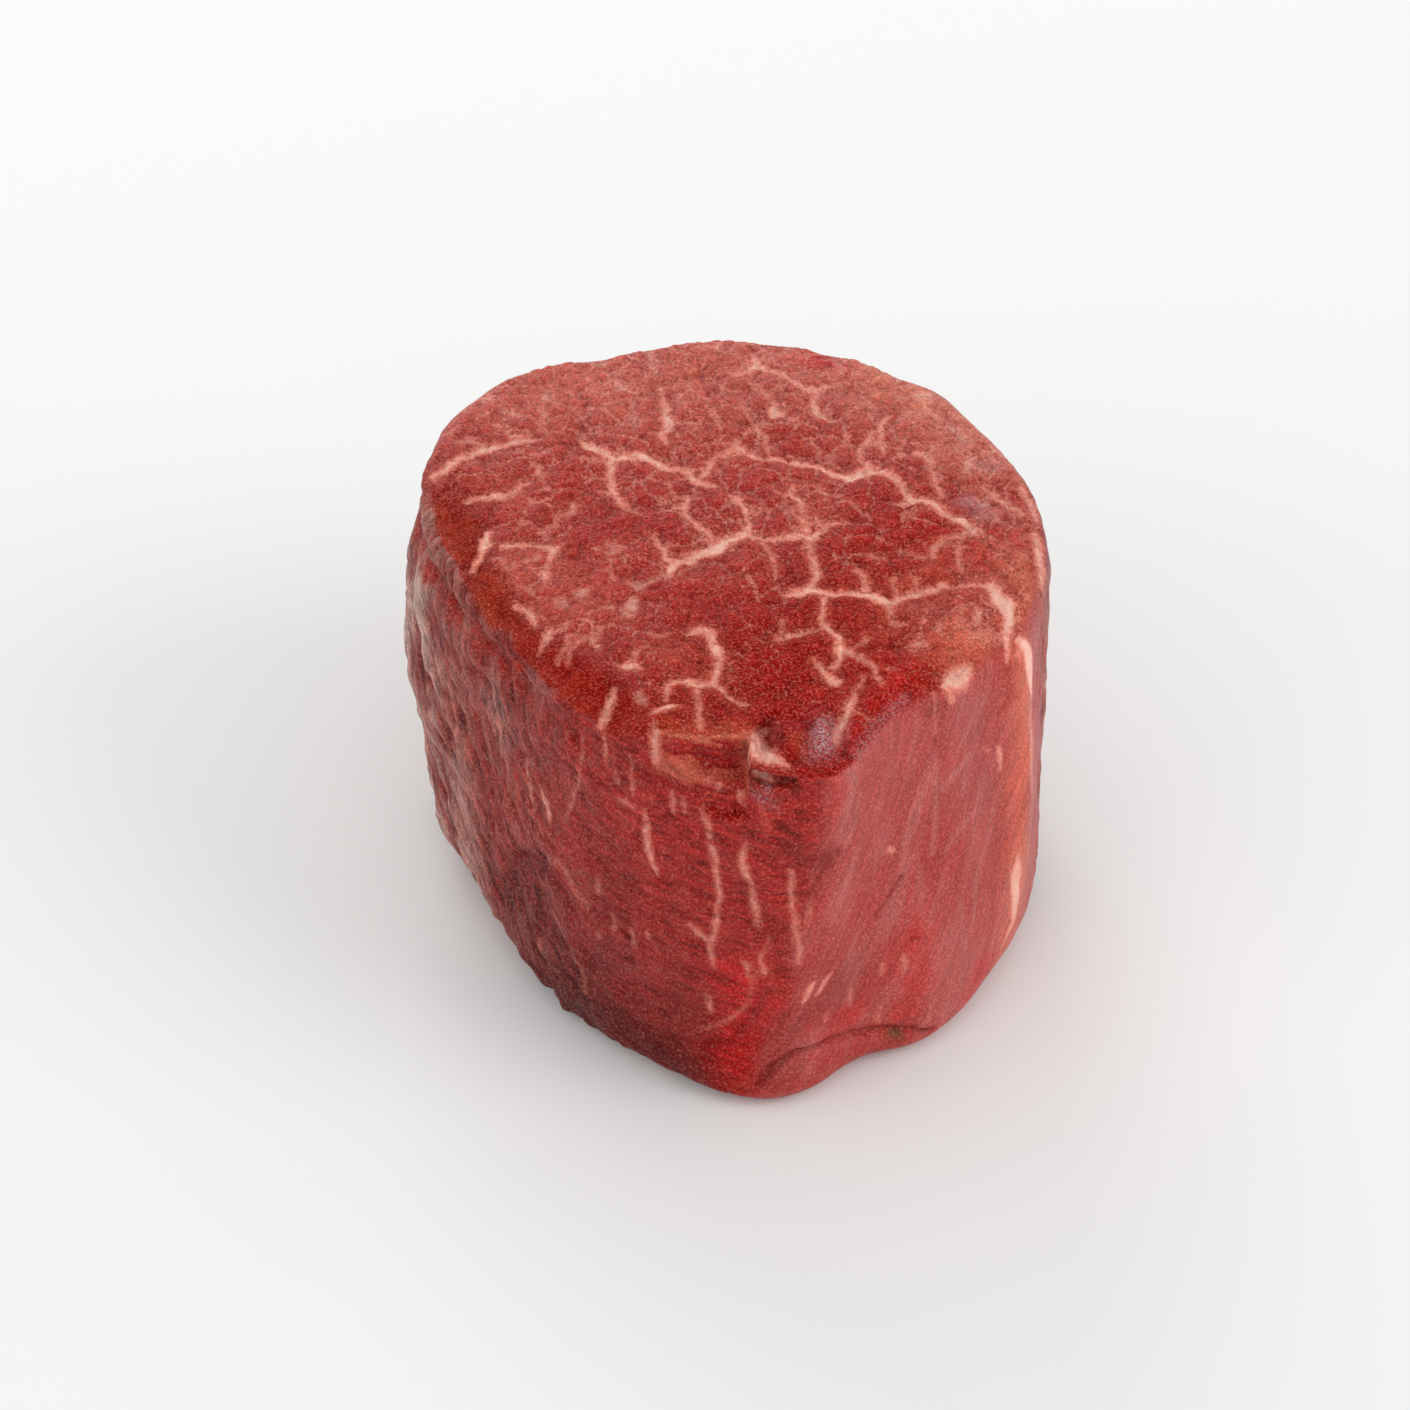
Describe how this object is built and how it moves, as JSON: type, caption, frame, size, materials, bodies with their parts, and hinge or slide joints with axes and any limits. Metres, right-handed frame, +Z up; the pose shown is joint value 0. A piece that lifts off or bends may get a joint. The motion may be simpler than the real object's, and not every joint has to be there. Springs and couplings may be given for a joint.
{
  "type": "raw beef tenderloin steak",
  "caption": "Thick-cut raw beef tenderloin steak (filet) standing on a cut face: a rounded drum with a blunt corner, marbled top and fibrous side.",
  "frame": {"origin": "on the surface it stands on, under the middle of the steak's outline", "axes": "+Z up along the meat's fibres, out of the upper cut face; -Y towards the blunt front corner; +X towards the smooth side"},
  "size_m": [0.076, 0.0832, 0.0512],
  "materials": {
    "raw_beef": "satin"
  },
  "bodies": {
    "root": {"steak": "raw_beef"}
  },
  "joints": []
}
